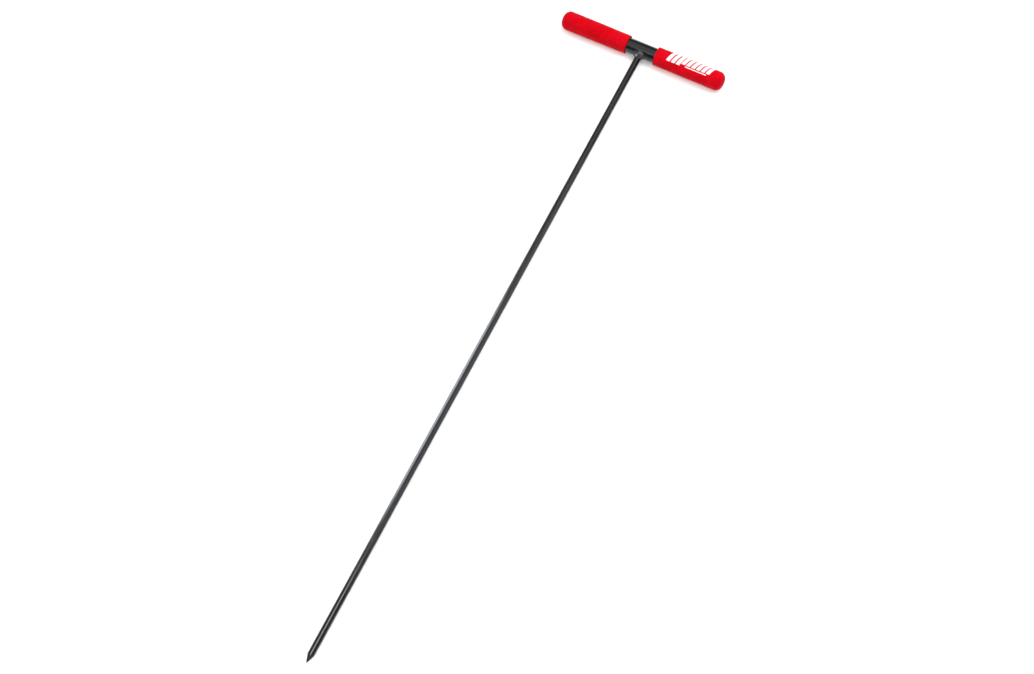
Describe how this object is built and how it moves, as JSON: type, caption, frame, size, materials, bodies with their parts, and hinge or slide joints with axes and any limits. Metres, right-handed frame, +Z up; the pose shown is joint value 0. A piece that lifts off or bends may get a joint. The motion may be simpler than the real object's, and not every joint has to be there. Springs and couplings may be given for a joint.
{
  "type": "ground probe",
  "caption": "T-handled ground probe: a long round steel rod with a conical point, welded to a cross tube with closed-end foam grips, for pushing into soil, turf or snow.",
  "frame": {"origin": "on the floor under the middle of the tool, which lies at rest on its two grips and on the shoulder of its point", "axes": "+X along the handle towards the right grip, +Y along the rod from the point towards the handle, +Z up from the floor"},
  "size_m": [0.32, 1.2192, 0.0337],
  "materials": {
    "black_steel": "satin to gloss black paint over steel",
    "red_foam": "matt closed-cell foam with fine pores"
  },
  "bodies": {
    "root": {"probe_rod": "black_steel", "handle_tube": "black_steel", "weld_bead": "black_steel", "left_grip": "red_foam", "right_grip": "red_foam"}
  },
  "joints": []
}
